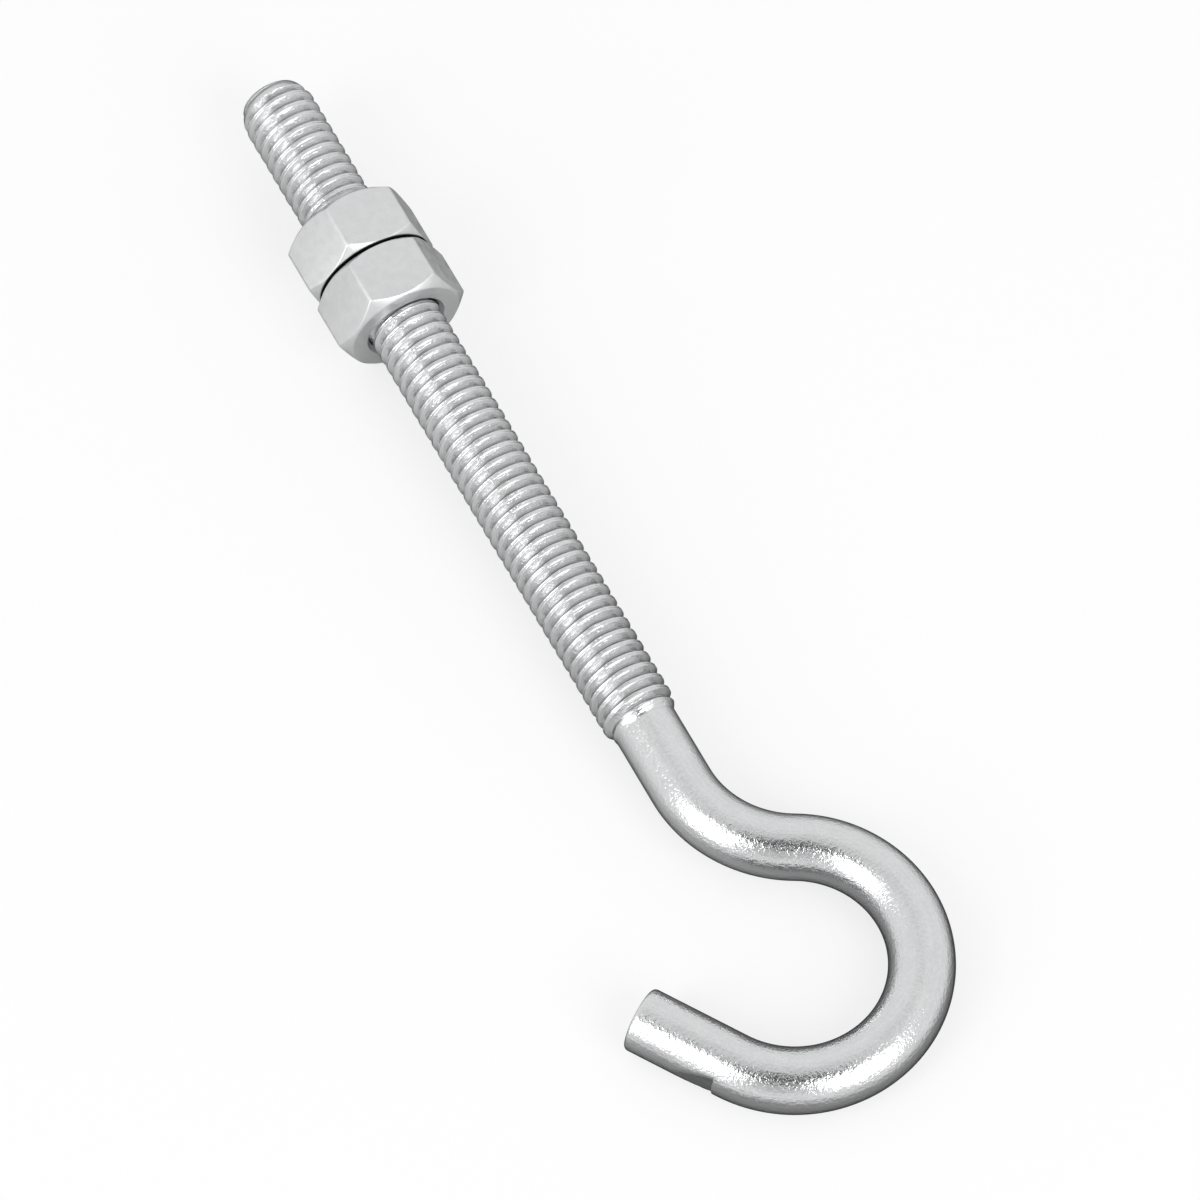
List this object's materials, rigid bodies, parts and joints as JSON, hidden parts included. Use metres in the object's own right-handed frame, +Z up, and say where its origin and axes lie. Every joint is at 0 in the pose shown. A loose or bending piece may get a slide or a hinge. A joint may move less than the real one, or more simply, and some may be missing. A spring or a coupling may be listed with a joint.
{
  "type": "hook bolt",
  "caption": "Threaded steel rod bent to an open hook at one end, with hex nuts jammed together on its thread.",
  "frame": {"origin": "on the floor that the set lies on, under the middle of its box", "axes": "+X along the set towards the hook, in plan parallel to the shank, which falls about 2 degrees towards the hook; +Y towards the side that the neck bends to; +Z up, nearly square to the plane of the hook"},
  "size_m": [0.127, 0.0342, 0.0138],
  "materials": {
    "plated_wire": "bright zinc plating on drawn and rolled wire",
    "plated_nut": "satin zinc plating on cold-formed nuts"
  },
  "bodies": {
    "bolt": {"hook_bolt": "plated_wire"},
    "upper_nut": {"upper_nut": "plated_nut"},
    "lower_nut": {"lower_nut": "plated_nut"}
  },
  "joints": [
    {"name": "upper_nut_travel", "type": "slide", "parent": "bolt", "child": "upper_nut", "axis": [-0.9994, 0, 0.0346], "range_m": [0, 0.02239]},
    {"name": "lower_nut_travel", "type": "slide", "parent": "bolt", "child": "lower_nut", "axis": [0.9994, 0, -0.0346], "range_m": [0, 0.0498]}
  ]
}
